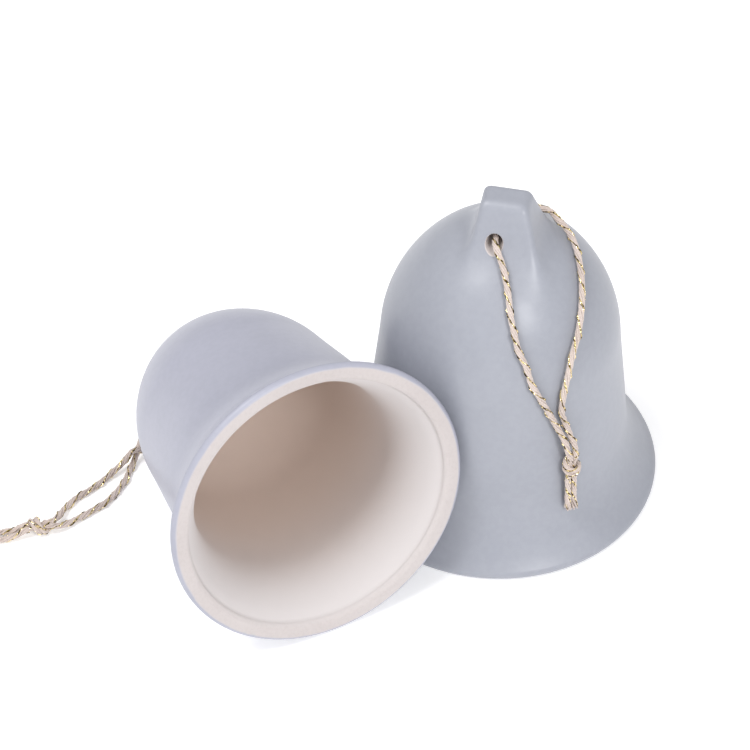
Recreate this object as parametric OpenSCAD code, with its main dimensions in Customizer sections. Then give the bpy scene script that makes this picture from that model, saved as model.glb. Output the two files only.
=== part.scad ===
// A pair of slip-cast ceramic bell ornaments, each on a tied loop of twisted cord.
// The larger bell stands on its rim, and the smaller one lies on its side beside it.
// Origin: the centre of the standing bell's rim. +Z is up, and +Y is the axis of its lug's hole.

/* [Bell] */
// Diameter over the rim
rim_d = 78; // [76:0.5:96]
// Height from the rim to the top of the dome
bell_h = 78; // [64:0.5:96]
// Diameter at the waist, where the wall begins to flare to the rim
waist_d = 61.4; // [60:0.2:70]
// Height of the waist above the rim
waist_z = 21.5; // [16:0.5:30]
// Diameter at the shoulder, where the dome begins
shoulder_d = 56.2; // [50:0.2:60]
// Height of the shoulder above the rim
shoulder_z = 45; // [36:0.5:52]
// Thickness of the clay
wall = 3.6; // [2.8:0.1:5]
// Width of the rim's flat face, measured from the outer edge
rim_w = 4.6; // [3.4:0.1:6]
// Height of the rim's upright outer edge
rim_edge_h = 1.6; // [1:0.1:4]
// Rounding of the rim's two corners
rim_round = 0.7; // [0.3:0.1:0.9]
// How sharply the wall flares below the waist
flare_power = 2.2; // [1.4:0.1:3.2]
// How full the dome is, where 2 is an ellipse
dome_power = 1.82; // [1.6:0.02:2.4]

/* [Lug] */
// Height of the lug over the top of the dome
lug_rise = 8.9; // [7.5:0.1:11]
// Width of the lug's top
lug_top_w = 11.2; // [9:0.2:13]
// Thickness of the lug's top, front to back
lug_top_t = 7.8; // [6:0.2:9]
// Width of the lug where it meets the dome
lug_foot_w = 15.6; // [13:0.2:19]
// Thickness of the lug where it meets the dome
lug_foot_t = 14.8; // [12:0.2:18]
// Shift of the lug's top off the bell's axis, along X
lug_top_x = 0.2; // [-0.5:0.1:1.5]
// Shift of the lug's foot off the bell's axis, along X
lug_foot_x = 1.1; // [-0.5:0.1:1.5]
// Shift of the lug's foot off the bell's axis, along Y
lug_foot_y = -0.8; // [-1:0.1:1]
// Rounding of the lug's edges
lug_round = 1.5; // [1:0.1:2.4]
// Diameter of the hole through the lug
hole_d = 3.8; // [3.2:0.1:4.6]
// Height of the hole's axis over the top of the dome
hole_rise = 0.5; // [0.4:0.1:2.4]
// Place of the hole's axis along X
hole_x = -1.1; // [-1.5:0.1:1.5]

/* [Cord] */
// Diameter of the cord
cord_d = 1.5; // [1.2:0.1:2]
// Length of the knot
knot_len = 7; // [5:0.5:9]
// Diameter of the knot at its middle
knot_d = 4.6; // [4:0.1:5.2]

/* [Lying bell] */
// Size of the lying bell as a share of the standing one
small_scale = 0.92; // [0.76:0.01:1]
// Gap between the two bells where they are nearest, measured on the level
bells_gap = 0.47; // [0.3:0.01:3]
// How far the lying bell's rim centre lies back from the standing bell's axis, against the crown's direction
rim_back = 23.35; // [18:0.05:30]
// Direction in which the lying bell's crown points, turned from +X
lying_turn = 128.5; // [120:0.5:136]
// Turn of the lying bell about its own axis
lying_roll = 66; // [50:1:80]

/* [Hidden] */

glaze = "#b4b8c6";
cord_colour = "#cdbcb0";

rim_r = rim_d / 2;
waist_r = waist_d / 2;
shoulder_r = shoulder_d / 2;
inner_waist_r = waist_r - wall;
hole_z = bell_h + hole_rise;
eye_reach = lug_foot_t / 2 - 1.4;
flare_steps = 12;
dome_steps = 20;
facets = 96;
cord_sides = 8;
strand_gap = cord_d * 1.05;

// ---- The bell's outline, as [radius, height] points ----

function flare(foot_r, foot_z, top_r) =
    [for (i = [0 : flare_steps])
        let (z = foot_z + (waist_z - foot_z) * i / flare_steps)
            [top_r + (foot_r - top_r) * pow((waist_z - z) / (waist_z - foot_z), flare_power), z]];

function dome(foot_r, rise) =
    [for (i = [0 : dome_steps])
        let (a = 90 * i / dome_steps)
            [i == dome_steps ? 0 : foot_r * pow(cos(a), 2 / dome_power),
             shoulder_z + rise * pow(sin(a), 2 / dome_power)]];

function corner(r, turn) =
    [for (a = [0 : 30 : 90]) [r + turn * rim_round * sin(a), rim_round * (1 - cos(a))]];

outer_line = concat(corner(rim_r - rim_round, 1), flare(rim_r, rim_edge_h, waist_r),
                    dome(shoulder_r, bell_h - shoulder_z));

inner_line = concat(corner(rim_r - rim_w + rim_round, -1),
                    flare(rim_r - rim_w - rim_round, rim_round + 0.2, inner_waist_r),
                    dome(shoulder_r - wall, bell_h - shoulder_z - wall));

// ---- Where the lying bell lies: its rim and its dome both touch the floor ----

lean = min([for (p = outer_line) if (p[1] > waist_z) atan((rim_r - p[0]) / (p[1] - rim_edge_h))]);
lying_z = small_scale * max([for (p = outer_line) p[0] * cos(lean) + p[1] * sin(lean)]);

function radius_at(z) = lookup(z, [for (p = outer_line) [p[1], p[0]]]);

// How far it lies to the side, so that its nearest point is bells_gap clear of the standing bell
lying_aside = max([for (p = outer_line, a = [-90 : 3 : 90])
    let (out = small_scale * p[0] * cos(a),
         along = small_scale * (p[1] * cos(lean) + p[0] * sin(a) * sin(lean)),
         z = lying_z + small_scale * (p[0] * sin(a) * cos(lean) - p[1] * sin(lean)),
         room = pow(radius_at(z) + bells_gap, 2) - pow(rim_back - along, 2))
        if (z < bell_h && room > 0) out + sqrt(room)]);
lying_x = -lying_aside * sin(lying_turn) - rim_back * cos(lying_turn);
lying_y = lying_aside * cos(lying_turn) - rim_back * sin(lying_turn);

function about_y(p, a) = [p[0] * cos(a) + p[2] * sin(a), p[1], p[2] * cos(a) - p[0] * sin(a)];
function about_z(p, a) = [p[0] * cos(a) - p[1] * sin(a), p[0] * sin(a) + p[1] * cos(a), p[2]];
function on_lying_bell(p) =
    [lying_x, lying_y, lying_z]
    + small_scale * about_z(about_y(about_z(p, lying_roll), 90 + lean), lying_turn);

module in_lying_place() {
    translate([lying_x, lying_y, lying_z])
        rotate([0, 90 + lean, lying_turn])
            rotate([0, 0, lying_roll])
                scale(small_scale)
                    children();
}

// ---- Cords: a round tube swept along its own route ----

function unit(v) = v / norm(v);
function heading(path, i) = unit(path[min(i + 1, len(path) - 1)] - path[max(i - 1, 0)]);
function level(v, t) = unit(v - (v * t) * t);
// The side direction of each ring, carried along the route without twisting
function sides_of(path, i, side) =
    i == len(path) ? []
    : let (now = level(side, heading(path, i))) concat([now], sides_of(path, i + 1, now));

module tube(path, start_side) {
    rings = len(path);
    side = sides_of(path, 0, start_side);
    points = [for (i = [0 : rings - 1], k = [0 : cord_sides - 1])
        let (a = 360 * k / cord_sides, t = heading(path, i))
            path[i] + cord_d / 2 * (cos(a) * side[i] + sin(a) * cross(t, side[i]))];
    walls = [for (i = [0 : rings - 2], k = [0 : cord_sides - 1])
        let (a = i * cord_sides + k, b = i * cord_sides + (k + 1) % cord_sides)
            [a, a + cord_sides, b + cord_sides, b]];
    near_end = [for (k = [0 : cord_sides - 1]) k];
    far_end = [for (k = [cord_sides - 1 : -1 : 0]) (rings - 1) * cord_sides + k];
    polyhedron(points, concat(walls, [near_end, far_end]), convexity = 8);
}

// A strand's middle on one face of a knot: end is +1 at the loop's face, hand is +1 or -1
function strand(knot_at, along, across, end, hand) =
    knot_at + end * knot_len / 2 * along + hand * strand_gap / 2 * across;

// The standing bell's knot hangs against the wall, and its two strands lie side by side
standing_knot_at = [21.7, -24.25, 28.5];
standing_along = [0, 0, 1];
standing_across = unit([24.5, 22, 0]);

// The lying bell's knot rests on the floor
lying_knot_at = [-102, -46, 2.4];
lying_knot_turn = 24;
lying_along = [cos(lying_knot_turn), sin(lying_knot_turn), 0];
lying_across = [-sin(lying_knot_turn), cos(lying_knot_turn), 0];

// From the knot, up the front leg to the lug
standing_front = [[20.6, -25, 34], [19.9, -24.8, 36.5], [18.4, -24.6, 39.5], [16, -25, 45],
                  [13.5, -25.5, 50.5], [11.5, -25.5, 54.5], [10, -24.5, 58.5], [8, -23.5, 62],
                  [6.5, -21.5, 65.5], [5, -19, 69], [4, -16.2, 71.9], [3, -14, 73.8], [1.8, -11.6, 76],
                  [0.5, -9.8, 77.6], [-0.6, -8, 78.6]];
// From the back of the lug, round it and down the other leg to the knot
standing_back = [[-0.4, 8, 78.2], [1.6, 9.4, 77.6], [4.2, 9.6, 77], [6.8, 8.9, 76.5], [9.4, 8.2, 76.4],
                 [11.2, 7, 75.3], [13, 6.2, 74.2], [14.9, 4.5, 72.8], [16.4, 2, 71.9], [17.6, -0.9, 70.8],
                 [18.7, -4.2, 69.2], [19.5, -7.8, 67], [20, -11.5, 64.4], [20, -15, 61.5],
                 [19.5, -18, 58.5], [19, -21, 53.5], [18.5, -22.5, 48.5], [18.5, -23, 44],
                 [19.7, -22.9, 40], [21, -23.3, 36.8], [22.1, -23.7, 34.2]];
standing_first_end = [[21.2, -24.7, 21.5], [21.4, -24.7, 17.5], [21.6, -25.3, 14]];
standing_second_end = [[22.4, -23.5, 20.5], [22.6, -23.6, 16.5], [23, -24.2, 13.5]];

// From the knot along the floor and up to the lug's upper mouth
lying_front = [[-97, -44.2, 1.7], [-93.5, -40, 0.9], [-91, -37, 0.9], [-88.8, -34, 0.9],
               [-87.2, -30.2, 0.9], [-86.3, -26.5, 0.9], [-86, -22.8, 0.9], [-85.5, -19.4, 2],
               [-84.8, -16.4, 5], [-83.8, -13.6, 10], [-83, -10.5, 15.5], [-82.8, -7.4, 20.4],
               [-81.6, -4.4, 23.6], [-80.4, -2, 25.4], [-78.6, -0.2, 25.8]];
// From the lug's lower mouth down to the floor and along it to the knot
lying_back = [[-70.8, 1.7, 9.8], [-71.4, 0.4, 7], [-72.8, -2.4, 4.4], [-75.4, -6, 2.4], [-78.6, -10, 1.2],
              [-81.5, -13.8, 1], [-83.8, -16.6, 1.8], [-85.8, -19.3, 4.2], [-88, -22.4, 2.4],
              [-91.5, -27.5, 0.9], [-93.7, -31, 0.9], [-96.3, -34.5, 0.9], [-97.9, -38.5, 1.3],
              [-98.4, -41.6, 2.1]];
lying_first_end = [[-107.4, -47.6, 1.5], [-110.5, -48.4, 0.9], [-114, -49, 0.9]];
lying_second_end = [[-106.8, -49.4, 1.5], [-110, -50.8, 0.9], [-113, -51.6, 0.9]];

eye_line = [for (y = [-1 : 0.5 : 1]) [hole_x, y * eye_reach, hole_z]];

standing_route = concat(
    [strand(standing_knot_at, standing_along, standing_across, 1, -1)],
    standing_front, eye_line, standing_back,
    [strand(standing_knot_at, standing_along, standing_across, 1, 1)]);

lying_route = concat(
    [strand(lying_knot_at, lying_along, lying_across, 1, -1)],
    lying_front, [for (i = [4 : -1 : 0]) on_lying_bell(eye_line[i])], lying_back,
    [strand(lying_knot_at, lying_along, lying_across, 1, 1)]);

module tail(knot_at, along, across, hand, route) {
    tube(concat([strand(knot_at, along, across, -1, hand)], route), across);
}

// ---- Sub-parts ----

module lug_corners(middle, w, t) {
    for (x = [-1, 1], y = [-1, 1])
        translate(middle + [x * (w / 2 - lug_round), y * (t / 2 - lug_round), 0])
            sphere(lug_round, $fn = 16);
}

module shell() {
    color(glaze)
        difference() {
            union() {
                rotate_extrude($fn = facets)
                    polygon(concat([[0, 0]], outer_line));
                hull() {
                    lug_corners([lug_foot_x, lug_foot_y, bell_h - wall / 2], lug_foot_w, lug_foot_t);
                    lug_corners([lug_top_x, 0, bell_h + lug_rise - lug_round], lug_top_w, lug_top_t);
                }
            }
            rotate_extrude($fn = facets)
                polygon(concat([[0, -1], [inner_line[0][0], -1]], inner_line));
            translate([hole_x, 0, hole_z])
                rotate([90, 0, 0])
                    cylinder(d = hole_d, h = 2 * lug_foot_t, center = true, $fn = 48);
        }
}

// The knot stands along Z, with a flat face at each end where the strands go in
module knot() {
    end_r = strand_gap / 2 + cord_d / 2;
    color(cord_colour)
        rotate_extrude($fn = 32)
            polygon(concat([[0, -knot_len / 2]],
                           [for (i = [-4 : 4])
                               [end_r + (knot_d / 2 - end_r) * cos(22.5 * i), knot_len * i / 8]],
                           [[0, knot_len / 2]]));
}

module standing_shell() {
    shell();
}

module standing_cord() {
    color(cord_colour) tube(standing_route, standing_across);
}

module standing_knot() {
    translate(standing_knot_at) knot();
}

module standing_first_tail() {
    color(cord_colour) tail(standing_knot_at, standing_along, standing_across, -1, standing_first_end);
}

module standing_second_tail() {
    color(cord_colour) tail(standing_knot_at, standing_along, standing_across, 1, standing_second_end);
}

module lying_shell() {
    in_lying_place() shell();
}

module lying_cord() {
    color(cord_colour) tube(lying_route, lying_across);
}

module lying_knot() {
    translate(lying_knot_at) rotate([0, 90, lying_knot_turn]) knot();
}

module lying_first_tail() {
    color(cord_colour) tail(lying_knot_at, lying_along, lying_across, 1, lying_first_end);
}

module lying_second_tail() {
    color(cord_colour) tail(lying_knot_at, lying_along, lying_across, -1, lying_second_end);
}

standing_shell();
standing_cord();
standing_knot();
standing_first_tail();
standing_second_tail();
lying_shell();
lying_cord();
lying_knot();
lying_first_tail();
lying_second_tail();
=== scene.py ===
"""A pair of glazed ceramic bell ornaments on loops of twisted cord.

Everything is in metres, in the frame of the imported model. The bells are worked out in millimetres,
each in its own frame with the rim's centre at the origin and the crown up, and then put in place.
"""
import math

import bmesh
import bpy
import numpy as np
from mathutils import Matrix, Vector


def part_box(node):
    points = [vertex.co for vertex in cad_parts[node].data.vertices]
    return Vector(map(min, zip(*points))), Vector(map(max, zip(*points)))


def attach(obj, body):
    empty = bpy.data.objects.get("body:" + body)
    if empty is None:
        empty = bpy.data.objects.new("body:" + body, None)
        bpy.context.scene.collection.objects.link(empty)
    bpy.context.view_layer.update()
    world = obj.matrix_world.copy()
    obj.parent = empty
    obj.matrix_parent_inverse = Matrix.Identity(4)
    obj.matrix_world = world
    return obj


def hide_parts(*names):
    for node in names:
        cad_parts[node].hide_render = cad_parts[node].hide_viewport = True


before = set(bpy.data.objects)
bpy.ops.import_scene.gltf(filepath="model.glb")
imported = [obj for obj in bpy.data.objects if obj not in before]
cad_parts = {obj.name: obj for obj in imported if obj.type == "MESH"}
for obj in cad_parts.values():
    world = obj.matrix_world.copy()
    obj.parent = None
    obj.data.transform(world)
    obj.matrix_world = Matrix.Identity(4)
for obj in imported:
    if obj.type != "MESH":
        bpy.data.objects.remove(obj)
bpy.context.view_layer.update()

MM = 0.001

# ---- Camera ----

# Fitted to the two bells' outlines, so that they lie where the photograph shows them
CAMERA_AT = (0.07651, -0.50089, 0.54695)
CAMERA_LOOKS_AT = (-0.03465, 0.02207, 0.0)
CAMERA_ANGLE = 14.027


def make_camera():
    data = bpy.data.cameras.new("camera")
    data.sensor_width = 36.0
    data.angle = math.radians(CAMERA_ANGLE)
    data.clip_start, data.clip_end = 0.01, 20.0
    camera = bpy.data.objects.new("camera", data)
    camera.location = CAMERA_AT
    look = Vector(CAMERA_LOOKS_AT) - Vector(CAMERA_AT)
    camera.rotation_mode = "QUATERNION"
    camera.rotation_quaternion = look.to_track_quat("-Z", "Y")
    bpy.context.scene.collection.objects.link(camera)
    bpy.context.scene.camera = camera


# ---- The bells' sizes, in mm ----

RIM_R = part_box("standing_shell")[1].x / MM
BELL_H = 78.0
WAIST_R, WAIST_Z = 30.7, 21.5
SHOULDER_R, SHOULDER_Z = 28.1, 45.0
WALL = 3.6
RIM_W, RIM_EDGE_H = 4.6, 1.6
LIP_OUTER_ROUND, LIP_INNER_ROUND = 1.25, 1.3
FLARE_POWER, DOME_POWER = 2.2, 1.82
LUG_TOP_Z = BELL_H + 8.9
# The lug's top and foot: half its width and half its depth, and where its middle is
LUG_TOP, LUG_TOP_AT = (5.6, 3.9), (0.2, 0.0)
LUG_FOOT, LUG_FOOT_AT = (7.8, 7.4), (1.1, -0.8)
LUG_ROUND = 1.5
LUG_FILLET = 3.5
HOLE_R, HOLE_X, HOLE_Z, HOLE_ROUND = 1.9, -1.1, BELL_H + 0.5, 0.35
# The lug and the dome inside this radius are one surface, found by rays from the crown's heart
CROWN_R = 18.0
CROWN_HEART = np.array([0.0, 0.0, 64.0])
SEGMENTS = 144
BARE_CLAY = -3.0  # a value of "coat" that is well past the glaze's edge

SMALL = 0.92
LYING_AT = (-31.0, -54.5)
LYING_TURN, LYING_ROLL = 128.5, 66.0


def flare(z, foot_r, foot_z, top_r):
    return top_r + (foot_r - top_r) * np.clip((WAIST_Z - z) / (WAIST_Z - foot_z), 0, 1) ** FLARE_POWER


def dome(foot_r, rise, last_r, steps):
    """The dome's outline from the shoulder up to the radius last_r."""
    end = math.acos((last_r / foot_r) ** (DOME_POWER / 2))
    a = np.linspace(0, end, steps)
    return np.stack([foot_r * np.cos(a) ** (2 / DOME_POWER),
                     SHOULDER_Z + rise * np.sin(a) ** (2 / DOME_POWER)], axis=1)


def eased(line, passes, above):
    """The outline with its creases above a height smoothed away."""
    line = line.copy()
    free = (line[:, 1] > above)[:, None]
    free[0] = free[-1] = False
    for _ in range(passes):
        middle = line.copy()
        middle[1:-1] = (line[:-2] + 2 * line[1:-1] + line[2:]) / 4
        line = np.where(free, middle, line)
    return line


def wall_line(foot_r, foot_z, top_r, shoulder_r, rise, last_r):
    z = np.linspace(foot_z, WAIST_Z, 30)
    low = np.stack([flare(z, foot_r, foot_z, top_r), z], axis=1)
    z = np.linspace(WAIST_Z, SHOULDER_Z, 24)[1:-1]
    share = (z - WAIST_Z) / (SHOULDER_Z - WAIST_Z)
    middle = np.stack([top_r + (shoulder_r - top_r) * share, z], axis=1)
    return eased(np.vstack([low, middle, dome(shoulder_r, rise, last_r, 44)]), 14, RIM_EDGE_H + 3)


def outer_line():
    return wall_line(RIM_R, RIM_EDGE_H, WAIST_R, SHOULDER_R, BELL_H - SHOULDER_Z, CROWN_R)


def inner_line():
    return wall_line(RIM_R - RIM_W, LIP_INNER_ROUND + 0.2, WAIST_R - WALL, SHOULDER_R - WALL,
                     BELL_H - SHOULDER_Z - WALL, 0.4)


def lip_corner(r, turn, rounding):
    """A quarter round from the lip's flat face up to its outer or inner wall."""
    a = np.linspace(0, math.pi / 2, 9)
    return np.stack([r + turn * rounding * np.sin(a), rounding * (1 - np.cos(a))], axis=1)


def bell_line():
    """The whole outline, from the crown down the outside, over the lip and up the inside."""
    face_from, face_to = RIM_R - LIP_OUTER_ROUND, RIM_R - RIM_W + LIP_INNER_ROUND
    outside = np.vstack([outer_line()[::-1], lip_corner(face_from, 1, LIP_OUTER_ROUND)[::-1]])
    face = np.linspace(face_from, face_to, 8)[1:-1]
    lip_face = np.stack([face, 0 * face], axis=1)
    inside = np.vstack([lip_corner(face_to, -1, LIP_INNER_ROUND), inner_line()])
    line = np.vstack([outside, lip_face, inside])
    run = np.concatenate([[0], np.cumsum(np.linalg.norm(np.diff(line, axis=0), axis=1))])
    glaze_ends = run[len(outside) - 1] - 0.15
    return line, glaze_ends - run


# ---- The crown: dome and lug as one smooth surface ----

def outside_dome(p):
    r = np.hypot(p[..., 0], p[..., 1]) / SHOULDER_R
    h = np.maximum(p[..., 2] - SHOULDER_Z, 0) / (BELL_H - SHOULDER_Z)
    return ((r ** DOME_POWER + h ** DOME_POWER) ** (1 / DOME_POWER) - 1) * (BELL_H - SHOULDER_Z)


def outside_lug(p):
    foot_z = BELL_H - WALL / 2
    share = (p[..., 2] - foot_z) / (LUG_TOP_Z - LUG_ROUND - foot_z)
    over = [np.abs(p[..., k] - LUG_FOOT_AT[k] - (LUG_TOP_AT[k] - LUG_FOOT_AT[k]) * share)
            - LUG_FOOT[k] - (LUG_TOP[k] - LUG_FOOT[k]) * share for k in (0, 1)]
    over = np.stack([*over, p[..., 2] - LUG_TOP_Z], axis=-1) + LUG_ROUND
    return np.linalg.norm(np.maximum(over, 0), axis=-1) + np.minimum(over.max(-1), 0) - LUG_ROUND


def outside_crown(p):
    a, b = outside_dome(p), outside_lug(p)
    near = np.maximum(LUG_FILLET - np.abs(a - b), 0)
    return np.minimum(a, b) - near ** 2 / (4 * LUG_FILLET)


def on_crown(way, side=1):
    """Where a ray from the crown's heart meets its surface; with side -1, of the crown mirrored in Y."""
    way = way / np.linalg.norm(way, axis=-1, keepdims=True)
    low, high = np.full(way.shape[:-1], 2.0), np.full(way.shape[:-1], 45.0)
    for _ in range(40):
        middle = (low + high) / 2
        inside = outside_crown((CROWN_HEART + middle[..., None] * way) * [1, side, 1]) < 0
        low, high = np.where(inside, middle, low), np.where(inside, high, middle)
    return CROWN_HEART + low[..., None] * way


def crown_arc(ring_z, count):
    """Points over the lug from the ring's right to its left, evenly spaced."""
    tilt = math.atan2(ring_z - CROWN_HEART[2], CROWN_R)
    a = np.linspace(tilt, math.pi - tilt, 2000)
    fine = on_crown(np.stack([np.cos(a), 0 * a, np.sin(a)], axis=1))
    run = np.concatenate([[0], np.cumsum(np.linalg.norm(np.diff(fine, axis=0), axis=1))])
    at = np.linspace(0, run[-1], count + 2)[1:-1]
    return np.stack([np.interp(at, run, fine[:, k]) for k in range(3)], axis=1)


def mouth_point(angle, r, side):
    """Where a line along the hole, at this angle and radius, meets the lug's front."""
    x, z = HOLE_X + r * np.cos(angle), HOLE_Z + r * np.sin(angle)
    near, far = np.full(x.shape, -20.0), np.zeros(x.shape)
    for _ in range(40):
        middle = (near + far) / 2
        out = outside_crown(np.stack([x, side * middle, z], axis=-1)) > 0
        near, far = np.where(out, middle, near), np.where(out, far, middle)
    return np.stack([x, near, z], axis=-1)


def crown_half(ring, side):
    """Rows of points from the middle of the hole out of a mouth and down to the ring.

    They are the front half's, at -Y; with side -1 they are the back half's, mirrored to the front.
    """
    arc = crown_arc(ring[0, 2], 47)
    half = ring[SEGMENTS // 2:]
    edge = np.vstack([half, ring[:1], arc])
    edge = np.roll(edge, -len(half), axis=0)
    ways = edge - CROWN_HEART
    mouth_way = mouth_point(np.zeros(1), 0.0, side)[0] - CROWN_HEART
    up = np.cross(mouth_way, [1.0, 0.0, 0.0])
    up /= np.linalg.norm(up)
    right = np.cross(up, mouth_way) / np.linalg.norm(mouth_way)
    angle = np.unwrap(np.arctan2(ways @ up, ways @ right))
    round_x, round_z = np.cos(angle), np.sin(angle)
    mouth = mouth_point(angle, HOLE_R + HOLE_ROUND, side)
    rows, coat = [], []
    edge_y = mouth[:, 1] + HOLE_ROUND
    for y in np.linspace(0, 1, 5)[:-1]:
        rows.append(np.stack([HOLE_X + HOLE_R * round_x, y * edge_y, HOLE_Z + HOLE_R * round_z], axis=1))
        coat.append(BARE_CLAY)
    for a in np.radians([90, 67, 45, 22]):
        r = HOLE_R + HOLE_ROUND * (1 - math.sin(a))
        y = mouth[:, 1] + HOLE_ROUND * (1 - math.cos(a))
        rows.append(np.stack([HOLE_X + r * round_x, y, HOLE_Z + r * round_z], axis=1))
        coat.append(0.6 - a)
    start = mouth - CROWN_HEART
    start /= np.linalg.norm(start, axis=1, keepdims=True)
    end = ways / np.linalg.norm(ways, axis=1, keepdims=True)
    for t in np.linspace(0, 1, 36) ** 1.15:
        rows.append(on_crown((1 - t) * start + t * end, side) if t < 1 else edge)
        coat.append(0.7 + 30 * t)
    return rows, coat


def grid_faces(rows, across, first, closed=True):
    faces = []
    for i in range(rows - 1):
        for k in range(across if closed else across - 1):
            a, b = first + i * across + k, first + i * across + (k + 1) % across
            faces.append((a, a + across, b + across, b))
    return faces


def bell_mesh(name, place):
    """The whole shell, with "coat": how far, in mm, a point is inside the glaze, or below 0 past it."""
    line, coat_line = bell_line()
    turn = 2 * math.pi * np.arange(SEGMENTS) / SEGMENTS
    ring = np.stack([np.cos(turn), np.sin(turn)], axis=1)
    points = [np.column_stack([r * ring, np.full(SEGMENTS, z)]) for r, z in line]
    coat = [np.full(SEGMENTS, c) for c in coat_line]
    faces = grid_faces(len(line), SEGMENTS, 0)
    first = len(line) * SEGMENTS
    points.append([[0, 0, line[-1, 1]]])
    coat.append([coat_line[-1]])
    last = first - SEGMENTS
    faces += [(last + k, first, last + (k + 1) % SEGMENTS) for k in range(SEGMENTS)]
    first += 1
    for side in (1, -1):
        rows, row_coat = crown_half(points[0], side)
        for row, value in zip(rows, row_coat):
            points.append(row * [1, side, 1])
            coat.append(np.full(len(row), value))
        faces += grid_faces(len(rows), len(rows[0]), first)
        first += len(rows) * len(rows[0])
    points = np.vstack(points)
    coat = np.concatenate(coat)
    mesh = bpy.data.meshes.new(name)
    mesh.from_pydata([place @ Vector(p) * MM for p in points], [], faces)
    mesh.attributes.new("coat", "FLOAT", "POINT").data.foreach_set("value", coat)
    weld(mesh, 2e-6)
    mesh.shade_smooth()
    return mesh


def weld(mesh, gap):
    bm = bmesh.new()
    bm.from_mesh(mesh)
    bmesh.ops.remove_doubles(bm, verts=bm.verts, dist=gap)
    bmesh.ops.recalc_face_normals(bm, faces=bm.faces)
    bm.to_mesh(mesh)
    bm.free()


def lying_place():
    """From the lying bell's own frame to the row's, in mm: its rim and its dome touch the floor."""
    line = bell_line()[0]
    outside = line[:int(np.argmin(line[:, 1])) + 1]
    high = outside[outside[:, 1] > WAIST_Z]
    lean = np.arctan((RIM_R - high[:, 0]) / (high[:, 1] - RIM_EDGE_H)).min()
    height = SMALL * (outside[:, 0] * math.cos(lean) + outside[:, 1] * math.sin(lean)).max()
    turn = Matrix.Rotation(math.radians(LYING_TURN), 4, "Z")
    tip = Matrix.Rotation(math.pi / 2 + lean, 4, "Y")
    roll = Matrix.Rotation(math.radians(LYING_ROLL), 4, "Z")
    return Matrix.Translation((*LYING_AT, height)) @ turn @ tip @ roll @ Matrix.Scale(SMALL, 4)


def add(name, mesh, materials):
    piece = bpy.data.objects.new(name, mesh)
    bpy.context.scene.collection.objects.link(piece)
    for material in materials:
        mesh.materials.append(material)
    return piece


# ---- Cords, in mm ----

CORD_D = 1.5
PLIES = 6
PLY_R, PLY_AT = 0.26, 0.48
CORE_R = 0.36
GOLD_HALF_W, GOLD_HALF_T = 0.31, 0.10
TWIST = 9.4  # the length of one turn of the plies
KNOT_LEN = 7.0
STRAND_GAP = CORD_D * 1.05
LOWEST_MIDDLE = 0.85  # the cord's middle where it lies on the floor
FRAYED = 3.4
YARNS, GOLD_YARNS = 26, 2

STANDING_KNOT = np.array([21.7, -24.25, 28.5])
STANDING_ALONG = np.array([0.0, 0, 1])
STANDING_ACROSS = np.array([24.5, 22, 0]) / math.hypot(24.5, 22)
STANDING_FRONT = [(20.6, -25, 34), (19.9, -24.8, 36.5), (18.4, -24.6, 39.5), (16, -25, 45),
                  (13.5, -25.5, 50.5), (11.5, -25.5, 54.5), (10, -24.5, 58.5), (8, -23.5, 62),
                  (6.5, -21.5, 65.5), (5, -19, 69), (4, -16.2, 71.9), (3, -14, 73.8), (1.8, -11.6, 76),
                  (0.5, -9.8, 77.6), (-0.6, -8, 78.6)]
STANDING_BACK = [(-0.4, 8, 78.2), (1.6, 9.4, 77.6), (4.2, 9.6, 77), (6.8, 8.9, 76.5), (9.4, 8.2, 76.4),
                 (11.2, 7, 75.3), (13, 6.2, 74.2), (14.9, 4.5, 72.8), (16.4, 2, 71.9), (17.6, -0.9, 70.8),
                 (18.7, -4.2, 69.2), (19.5, -7.8, 67), (20, -11.5, 64.4), (20, -15, 61.5),
                 (19.5, -18, 58.5), (19, -21, 53.5), (18.5, -22.5, 48.5), (18.5, -23, 44),
                 (19.7, -22.9, 40), (21, -23.3, 36.8), (22.1, -23.7, 34.2)]
STANDING_ENDS = ([(21.2, -24.7, 21.5), (21.4, -24.7, 17.5), (21.6, -25.3, 14)],
                 [(22.4, -23.5, 20.5), (22.6, -23.6, 16.5), (23, -24.2, 13.5)])

LYING_KNOT = np.array([-102, -46, 2.4])
LYING_KNOT_TURN = math.radians(24)
LYING_ALONG = np.array([math.cos(LYING_KNOT_TURN), math.sin(LYING_KNOT_TURN), 0])
LYING_ACROSS = np.array([-math.sin(LYING_KNOT_TURN), math.cos(LYING_KNOT_TURN), 0])
LYING_FRONT = [(-97, -44.2, 1.7), (-93.5, -40, 0.9), (-91, -37, 0.9), (-88.8, -34, 0.9),
               (-87.2, -30.2, 0.9), (-86.3, -26.5, 0.9), (-86, -22.8, 0.9), (-85.5, -19.4, 2),
               (-84.8, -16.4, 5), (-83.8, -13.6, 10), (-83, -10.5, 15.5), (-82.8, -7.4, 20.4),
               (-81.6, -4.4, 23.6), (-80.4, -2, 25.4), (-78.6, -0.2, 25.8)]
LYING_BACK = [(-70.8, 1.7, 9.8), (-71.4, 0.4, 7), (-72.8, -2.4, 4.4), (-75.4, -6, 2.4), (-78.6, -10, 1.2),
              (-81.5, -13.8, 1), (-83.8, -16.6, 1.8), (-85.8, -19.3, 4.2), (-88, -22.4, 2.4),
              (-91.5, -27.5, 0.9), (-93.7, -31, 0.9), (-96.3, -34.5, 0.9), (-97.9, -38.5, 1.3),
              (-98.4, -41.6, 2.1)]
LYING_ENDS = ([(-106.8, -49.4, 1.5), (-110, -50.8, 0.9), (-113, -51.6, 0.9)],
              [(-107.4, -47.6, 1.5), (-110.5, -48.4, 0.9), (-114, -49, 0.9)])

EYE_REACH = LUG_FOOT[1] - 1.4
EYE_LINE = [(HOLE_X, y * EYE_REACH, HOLE_Z) for y in (-1, -0.5, 0, 0.5, 1)]


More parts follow.
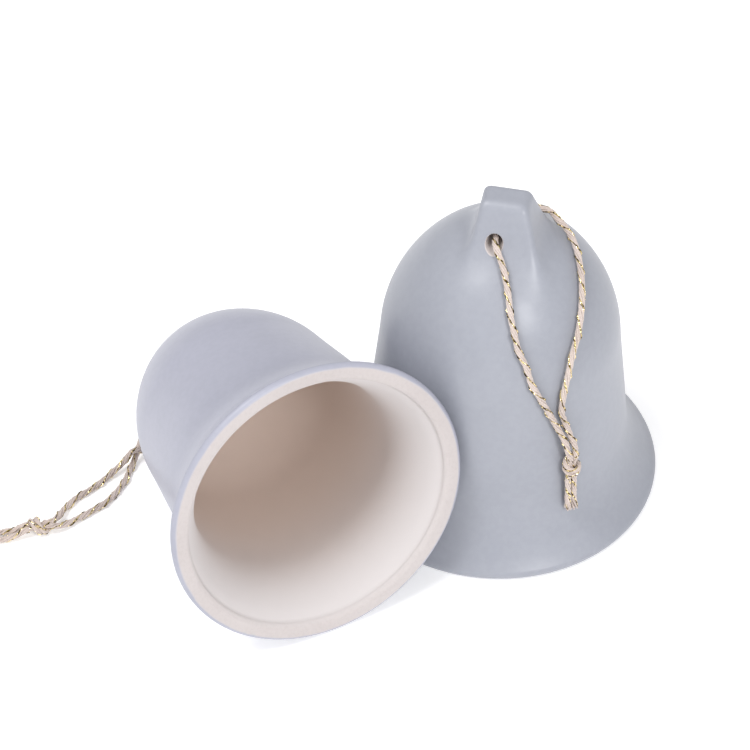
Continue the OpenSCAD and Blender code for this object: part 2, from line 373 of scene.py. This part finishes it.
def strand(knot, along, across, end, hand):
    """A strand's middle on one face of a knot: end is 1 at the loop's face, hand is 1 or -1."""
    return knot + end * KNOT_LEN / 2 * along + hand * STRAND_GAP / 2 * across


def smooth_path(points, step):
    """A smooth curve through the points, sampled every step."""
    p = np.array(points, float)
    p = np.vstack([2 * p[0] - p[1], p, 2 * p[-1] - p[-2]])
    knots = np.concatenate([[0], np.cumsum(np.sqrt(np.linalg.norm(np.diff(p, axis=0), axis=1)))])
    fine = []
    for i in range(1, len(p) - 2):
        t0, t1, t2, t3 = knots[i - 1:i + 3]
        t = np.linspace(t1, t2, 24, endpoint=False)[:, None]
        a1 = (t1 - t) / (t1 - t0) * p[i - 1] + (t - t0) / (t1 - t0) * p[i]
        a2 = (t2 - t) / (t2 - t1) * p[i] + (t - t1) / (t2 - t1) * p[i + 1]
        a3 = (t3 - t) / (t3 - t2) * p[i + 1] + (t - t2) / (t3 - t2) * p[i + 2]
        b1 = (t2 - t) / (t2 - t0) * a1 + (t - t0) / (t2 - t0) * a2
        b2 = (t3 - t) / (t3 - t1) * a2 + (t - t1) / (t3 - t1) * a3
        fine.append((t2 - t) / (t2 - t1) * b1 + (t - t1) / (t2 - t1) * b2)
    fine = np.vstack(fine + [p[-2:-1]])
    run = np.concatenate([[0], np.cumsum(np.linalg.norm(np.diff(fine, axis=0), axis=1))])
    at = np.linspace(0, run[-1], max(2, int(round(run[-1] / step)) + 1))
    return np.stack([np.interp(at, run, fine[:, k]) for k in range(3)], axis=1)


def carried_frames(path, first_side):
    """Each point's heading and two side directions, carried along without twisting."""
    ahead = np.gradient(path, axis=0)
    ahead /= np.linalg.norm(ahead, axis=1, keepdims=True)
    side = np.empty_like(ahead)
    now = np.array(first_side, float)
    for i, t in enumerate(ahead):
        now = now - (now @ t) * t
        now = now / np.linalg.norm(now)
        side[i] = now
    return ahead, side, np.cross(ahead, side)


def run_of(path):
    return np.concatenate([[0], np.cumsum(np.linalg.norm(np.diff(path, axis=0), axis=1))])


class Strands:
    """Gathers tubes into one mesh, with a material number for each."""

    def __init__(self):
        self.points, self.faces, self.kinds, self.count = [], [], [], 0

    def tube(self, middle, first_side, half_w, half_t, turn, kind, sides=8):
        """A tube of oval section round the line middle; the sizes and turn may vary along it."""
        _, u, v = carried_frames(middle, first_side)
        n = len(middle)
        half_w, half_t, turn = (np.broadcast_to(x, n)[:, None] for x in (half_w, half_t, turn))
        a = 2 * math.pi * np.arange(sides) / sides
        x, y = half_w * np.cos(a), half_t * np.sin(a)
        cos, sin = np.cos(turn), np.sin(turn)
        x, y = x * cos - y * sin, x * sin + y * cos
        rings = middle[:, None] + x[..., None] * u[:, None] + y[..., None] * v[:, None]
        self.points.append(rings.reshape(-1, 3))
        faces = grid_faces(n, sides, self.count)
        faces.append(tuple(self.count + k for k in range(sides)))
        faces.append(tuple(self.count + (n - 1) * sides + k for k in reversed(range(sides))))
        self.faces += faces
        self.kinds += [kind] * len(faces)
        self.count += n * sides

    def mesh(self, name):
        mesh = bpy.data.meshes.new(name)
        mesh.from_pydata((np.vstack(self.points) * MM).tolist(), [], self.faces)
        mesh.polygons.foreach_set("material_index", self.kinds)
        weld(mesh, 1e-9)
        mesh.shade_smooth()
        return mesh


COTTON, GOLD = 0, 1


def twisted(strands, path, first_side, share=1.0, phase=0.0):
    """Fine cotton plies twisted round a core, with a flat gold thread in each of two grooves."""
    _, u, v = carried_frames(path, first_side)
    run = run_of(path)
    turn = phase - 2 * math.pi * run / (TWIST * share)

    def beside(angle, at):
        at = np.broadcast_to(at, len(path))[:, None]
        return path + at * (np.cos(angle)[:, None] * u + np.sin(angle)[:, None] * v)

    strands.tube(path, u[0], share * CORE_R, share * CORE_R, 0.0, COTTON, sides=6)
    for ply in range(PLIES):
        angle = turn + 2 * math.pi * ply / PLIES + 0.10 * np.sin(run * 0.7 + 2.1 * ply)
        r = share * PLY_R * (1 + 0.07 * np.sin(run * 0.9 + 1.7 * ply) + 0.05 * np.sin(run * 2.3 + ply))
        strands.tube(beside(angle, share * PLY_AT), u[0], r, r, 0.0, COTTON)
    for half_turn in (0, math.pi):
        groove = turn + math.pi / PLIES + half_turn
        out = share * (0.64 + 0.07 * np.sin(run * 1.3 + phase + half_turn) + 0.04 * np.sin(run * 2.9))
        spin = groove + math.pi / 2 + 0.7 * np.sin(run * 3.1 + half_turn)
        strands.tube(beside(groove, out), u[0], share * GOLD_HALF_W, share * GOLD_HALF_T, spin, GOLD, sides=6)


def cord_mesh(name, route, across, inside):
    """The loop of cord, and the points that it follows; its ends reach a little inside the knot."""
    path = smooth_path(route, 0.3)
    path[:, 2] = np.maximum(path[:, 2], LOWEST_MIDDLE)
    start, end = path[0] - path[1], path[-1] - path[-2]
    reach = np.arange(1, 5)[:, None] * inside / 4
    longer = np.vstack([(path[0] + reach * start / np.linalg.norm(start))[::-1], path,
                        path[-1] + reach * end / np.linalg.norm(end)])
    strands = Strands()
    twisted(strands, longer, across)
    return strands.mesh(name), path


def knot_mesh(name, knot, along, across, hand):
    """The knot pulled tight: two cords wound round it on a slant, over the two strands that cross it."""
    out = np.cross(along, across)

    def spot(angle, at, height):
        angle, at, height = (np.asarray(x, float)[..., None] for x in (angle, at, height))
        return knot + at * (np.cos(angle) * across + np.sin(angle) * out) + height * along

    strands = Strands()
    for lane in (-1, 1):
        t = np.linspace(0, 1, 130)
        angle = hand * (-0.5 + 2 * math.pi * 1.3 * t)
        at = 1.42 + 0.16 * np.sin(math.pi * t) + 0.08 * np.sin(9 * t + lane)
        at = at * np.clip(np.minimum(t, 1 - t) * 9, 0.25, 1)
        height = 1.9 - 3.6 * t + 0.62 * np.cos(angle * 0.77 + 0.4) + lane * 0.62
        twisted(strands, spot(angle, at, height), along, 0.84, 1.0 + lane)
    for side in (1, -1):
        core = [strand(knot, along, across, end, side * off) + away * out for end, off, away in
                ((1.0, 1, 0), (0.55, 0.7, 0.15), (0.1, 0.45, -0.2), (-0.5, 0.7, 0.1), (-1.0, 1, 0))]
        twisted(strands, smooth_path(core, 0.4), across, 0.86, side * 1.1)
    return strands.mesh(name)


def tail_mesh(name, knot, along, across, hand, ends, seed):
    """A cut end of the cord, with its yarns coming apart."""
    inside = [strand(knot, along, across, end, hand) for end in (-0.7, -1)]
    path = smooth_path([*inside, *ends], 0.3)
    run = run_of(path)
    whole = path[run < run[-1] - FRAYED]
    strands = Strands()
    twisted(strands, whole, across, 1.0, hand * 0.7)
    dice = np.random.default_rng(seed)
    _, u, v = carried_frames(path, across)
    at = len(whole) - 4
    drop = path[at:]
    s = (run[at:] - run[at]) / (run[-1] - run[at])
    for yarn in range(YARNS):
        angle, r = dice.uniform(0, 2 * math.pi), CORD_D / 2 * math.sqrt(dice.uniform(0, 0.8))
        spread = dice.uniform(0.0, 0.55)
        length = max(6, int(len(drop) * dice.uniform(0.82, 1.0)))
        swirl = angle - 2.2 * s
        wide = r + spread * s ** 2
        line = drop + wide[:, None] * (np.cos(swirl)[:, None] * u[at:] + np.sin(swirl)[:, None] * v[at:])
        kind = GOLD if yarn < GOLD_YARNS else COTTON
        thick = 0.15 if kind == GOLD else dice.uniform(0.15, 0.24)
        thin = thick * (1 - 0.35 * s[:length])
        strands.tube(line[:length], u[at], thin, thin, 0.0, kind, sides=6)
    return strands.mesh(name)


# ---- Materials ----

# The clay's two tones on the lip, then its colour in the mouth, then a warmer, darker tone deep in the
# cavity, which is painted shade
CLAY = ((0.555, 0.51, 0.50), (0.50, 0.455, 0.445), (0.63, 0.595, 0.59), (0.63, 0.53, 0.47))
STANDING_GLAZE = ((0.34, 0.352, 0.395), (0.31, 0.322, 0.365))
# The lying bell has the same glaze as the standing one, painted lighter and bluer: painted light on its
# upturned side
LYING_GLAZE_PAINTED_LIGHTER = ((0.395, 0.40, 0.47), (0.36, 0.365, 0.43))
CLAY_ROUGHNESS, GLAZE_ROUGHNESS = 0.68, 0.36


def new_material(name):
    material = bpy.data.materials.new(name)
    material.use_nodes = True
    nodes = material.node_tree.nodes
    return material, nodes, material.node_tree.links, nodes["Principled BSDF"]


def node(nodes, kind, **values):
    """A node with its settings, and its inputs by name with underscores for spaces."""
    made = nodes.new(kind)
    for key, value in values.items():
        if hasattr(made, key):
            setattr(made, key, value)
        else:
            made.inputs[key.replace("_", " ")].default_value = value
    return made


def mix_colours(nodes, links, share, low, high):
    mix = nodes.new("ShaderNodeMix")
    mix.data_type = "RGBA"
    links.new(share, mix.inputs["Factor"])
    for socket, colour in ((mix.inputs["A"], low), (mix.inputs["B"], high)):
        if isinstance(colour, bpy.types.NodeSocket):
            links.new(colour, socket)
        else:
            socket.default_value = (*colour, 1)
    return mix.outputs["Result"]


def mix_numbers(nodes, links, share, low, high):
    mix = nodes.new("ShaderNodeMix")
    mix.data_type = "FLOAT"
    links.new(share, mix.inputs["Factor"])
    mix.inputs["A"].default_value, mix.inputs["B"].default_value = low, high
    return mix.outputs["Result"]


def noise(nodes, links, where, size_mm, detail=3.0, roughness=0.5):
    made = node(nodes, "ShaderNodeTexNoise", Scale=1 / (size_mm * MM), Detail=detail, Roughness=roughness)
    links.new(where, made.inputs["Vector"])
    return made.outputs["Fac"]


def ramp(nodes, links, value, low, high, to_low=0.0, to_high=1.0):
    made = nodes.new("ShaderNodeMapRange")
    made.interpolation_type = "SMOOTHSTEP"
    links.new(value, made.inputs["Value"])
    for key, number in (("From Min", low), ("From Max", high), ("To Min", to_low), ("To Max", to_high)):
        made.inputs[key].default_value = number
    return made.outputs["Result"]


def maths(nodes, links, operation, a, b):
    made = nodes.new("ShaderNodeMath")
    made.operation = operation
    for socket, value in zip(made.inputs, (a, b)):
        if isinstance(value, bpy.types.NodeSocket):
            links.new(value, socket)
        else:
            socket.default_value = value
    return made.outputs["Value"]


def roughen(nodes, links, shader, height, strength, depth_mm):
    bump = node(nodes, "ShaderNodeBump", Strength=strength, Distance=depth_mm * MM)
    links.new(height, bump.inputs["Height"])
    links.new(bump.outputs["Normal"], shader.inputs["Normal"])


def ceramic(name, glaze, glaze_shade, clay, clay_shade, inner, painted_deep_shade):
    """Satin glaze outside, and bare clay where "coat" is below 0: on the lip and inside."""
    material, nodes, links, shader = new_material(name)
    where = nodes.new("ShaderNodeTexCoord").outputs["Object"]
    coat = node(nodes, "ShaderNodeAttribute", attribute_name="coat").outputs["Fac"]
    uneven = noise(nodes, links, where, 5.0, 4.0)
    edge = maths(nodes, links, "ADD", coat, ramp(nodes, links, uneven, 0.3, 0.7, -0.08, 0.08))
    coated = ramp(nodes, links, edge, -0.08, 0.08)
    past_lip = ramp(nodes, links, coat, -4.4, -2.6, 1.0, 0.0)
    # Painted shade: the clay gets a warmer, darker tone deeper in the cavity
    deep = ramp(nodes, links, coat, -45.0, -6.0, 1.0, 0.0)

    clouds = noise(nodes, links, where, 26.0, 4.0, 0.55)
    mottle = noise(nodes, links, where, 1.6, 5.0, 0.6)
    tone = maths(nodes, links, "ADD", ramp(nodes, links, clouds, 0.3, 0.7, 0.0, 0.6),
                 ramp(nodes, links, mottle, 0.35, 0.65, 0.0, 0.4))
    glaze_colour = mix_colours(nodes, links, tone, glaze, glaze_shade)
    grit = noise(nodes, links, where, 0.8, 6.0, 0.65)
    clay_tone = maths(nodes, links, "ADD", ramp(nodes, links, clouds, 0.3, 0.7, 0.0, 0.5),
                      ramp(nodes, links, grit, 0.4, 0.7, 0.0, 0.5))
    clay_colour = mix_colours(nodes, links, clay_tone, clay, clay_shade)
    # Past the lip the clay turns to the mouth's colour, and deeper in it turns to the painted shade
    clay_colour = mix_colours(nodes, links, past_lip, clay_colour,
                              mix_colours(nodes, links, deep, inner, painted_deep_shade))
    thin = ramp(nodes, links, edge, 0.05, 0.5)
    edge_colour = [0.35 * g + 0.65 * c for g, c in zip(glaze, clay)]
    thin_glaze = mix_colours(nodes, links, thin, edge_colour, glaze_colour)
    links.new(mix_colours(nodes, links, coated, clay_colour, thin_glaze), shader.inputs["Base Color"])
    links.new(mix_numbers(nodes, links, coated, CLAY_ROUGHNESS, GLAZE_ROUGHNESS), shader.inputs["Roughness"])

    pits = node(nodes, "ShaderNodeTexVoronoi", Scale=1 / (5.0 * MM), Randomness=1.0)
    links.new(where, pits.inputs["Vector"])
    pit = ramp(nodes, links, pits.outputs["Distance"], 0.02, 0.05)
    orange_peel = noise(nodes, links, where, 0.9, 2.0)
    height = maths(nodes, links, "ADD", maths(nodes, links, "MULTIPLY", pit, 0.35),
                   maths(nodes, links, "MULTIPLY", orange_peel, 0.30))
    height = maths(nodes, links, "ADD", height, maths(nodes, links, "MULTIPLY", grit, 0.35))
    roughen(nodes, links, shader, height, 0.35, 0.06)
    shader.inputs["IOR"].default_value = 1.45
    shader.inputs["Specular IOR Level"].default_value = 0.45
    return material


def cotton():
    material, nodes, links, shader = new_material("cream_cotton")
    where = nodes.new("ShaderNodeTexCoord").outputs["Object"]
    fibre = noise(nodes, links, where, 0.22, 5.0, 0.7)
    patch = noise(nodes, links, where, 6.0, 2.0)
    tone = maths(nodes, links, "ADD", ramp(nodes, links, fibre, 0.35, 0.65, 0.0, 0.7),
                 ramp(nodes, links, patch, 0.35, 0.65, 0.0, 0.3))
    colour = mix_colours(nodes, links, tone, (0.47, 0.38, 0.335), (0.70, 0.61, 0.56))
    links.new(colour, shader.inputs["Base Color"])
    shader.inputs["Roughness"].default_value = 0.9
    shader.inputs["Sheen Weight"].default_value = 0.35
    shader.inputs["Sheen Roughness"].default_value = 0.5
    roughen(nodes, links, shader, fibre, 0.7, 0.08)
    return material


def gold_thread():
    material, nodes, links, shader = new_material("gold_thread")
    where = nodes.new("ShaderNodeTexCoord").outputs["Object"]
    # One noise both crinkles the foil and paints its colour from near-black to bright gold in patches:
    # painted reflections of dark and bright surroundings, and painted glints
    crinkles_and_painted_glints = noise(nodes, links, where, 0.7, 2.0)
    painted_glint = ramp(nodes, links, crinkles_and_painted_glints, 0.42, 0.58)
    colour = mix_colours(nodes, links, painted_glint, (0.10, 0.065, 0.02), (1.0, 0.82, 0.42))
    links.new(colour, shader.inputs["Base Color"])
    shader.inputs["Metallic"].default_value = 1.0
    shader.inputs["Roughness"].default_value = 0.18
    roughen(nodes, links, shader, crinkles_and_painted_glints, 0.6, 0.1)
    return material


def paper():
    material, nodes, links, shader = new_material("pale_floor")
    where = nodes.new("ShaderNodeTexCoord").outputs["Object"]
    tooth = noise(nodes, links, where, 1.5, 3.0)
    colour = mix_colours(nodes, links, tooth, (0.93, 0.93, 0.93), (0.95, 0.95, 0.95))
    links.new(colour, shader.inputs["Base Color"])
    shader.inputs["Roughness"].default_value = 0.9
    shader.inputs["Emission Color"].default_value = (1, 1, 1, 1)
    shader.inputs["Emission Strength"].default_value = 0.25
    return material


# ---- Floor and light ----

LIT_POINT = Vector((-0.03, -0.03, 0.03))
ROOM_LIGHT = 0.58


def make_floor():
    half = 3.0
    corners = [(-half, -half, 0), (half, -half, 0), (half, half, 0), (-half, half, 0)]
    mesh = bpy.data.meshes.new("floor")
    mesh.from_pydata(corners, [], [(0, 1, 2, 3)])
    add("floor", mesh, [paper()])


def soft_box(name, at, size, watts):
    """A square lamp that faces the middle of the pair."""
    data = bpy.data.lights.new(name, "AREA")
    data.shape = "SQUARE"
    data.size = size
    data.energy = watts
    lamp = bpy.data.objects.new(name, data)
    lamp.location = at
    lamp.rotation_euler = (LIT_POINT - Vector(at)).to_track_quat("-Z", "Y").to_euler()
    bpy.context.scene.collection.objects.link(lamp)


def make_light():
    world = bpy.data.worlds.new("studio")
    world.use_nodes = True
    background = world.node_tree.nodes["Background"]
    background.inputs["Color"].default_value = (0.98, 0.98, 1.0, 1)
    background.inputs["Strength"].default_value = ROOM_LIGHT
    bpy.context.scene.world = world
    soft_box("right_front", (0.55, -0.66, 0.66), 0.25, 4.9)
    soft_box("left_top", (-0.35, -0.22, 0.85), 0.4, 4.8)


# ---- The pieces ----

STANDING = (STANDING_KNOT, STANDING_ALONG, STANDING_ACROSS)
LYING = (LYING_KNOT, LYING_ALONG, LYING_ACROSS)
THREADS = [cotton(), gold_thread()]


def make_bell(prefix, place, glaze):
    name = f"{prefix}_bell_shell"
    bell = add(name, bell_mesh(name, place), [ceramic(f"{prefix}_ceramic", *glaze, *CLAY)])
    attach(bell, f"{prefix}_bell")
    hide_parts(f"{prefix}_shell")


def make_loop(prefix, knot_place, front, eye, back, ends, hand):
    knot, along, across = knot_place
    body = f"{prefix}_loop"
    route = [strand(knot, along, across, 1, -1), *front, *eye, *back, strand(knot, along, across, 1, 1)]
    mesh, path = cord_mesh(f"{prefix}_twisted_cord", route, across, 1.2)
    cord = add(f"{prefix}_twisted_cord", mesh, THREADS)
    name = f"{prefix}_tied_knot"
    tied = add(name, knot_mesh(name, knot, along, across, hand), THREADS)
    pieces = [(cord, f"{prefix}_cord"), (tied, f"{prefix}_knot")]
    for number, (end, side, word) in enumerate(zip(ends, (-1, 1), ("first", "second"))):
        name = f"{prefix}_{word}_frayed_end"
        tail = add(name, tail_mesh(name, knot, along, across, side, end, 7 + number), THREADS)
        pieces.append((tail, f"{prefix}_{word}_tail"))
    for piece, stands_for in pieces:
        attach(piece, body)
        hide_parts(stands_for)


bpy.context.scene.view_settings.view_transform = "Standard"
make_camera()
make_floor()
make_light()
LIE = lying_place()
make_loop("standing", STANDING, STANDING_FRONT, EYE_LINE, STANDING_BACK, STANDING_ENDS, 1)
lying_eye = [tuple(LIE @ Vector(p)) for p in EYE_LINE[::-1]]
make_loop("lying", LYING, LYING_FRONT, lying_eye, LYING_BACK, LYING_ENDS, -1)
make_bell("standing", Matrix.Identity(4), STANDING_GLAZE)
make_bell("lying", LIE, LYING_GLAZE_PAINTED_LIGHTER)
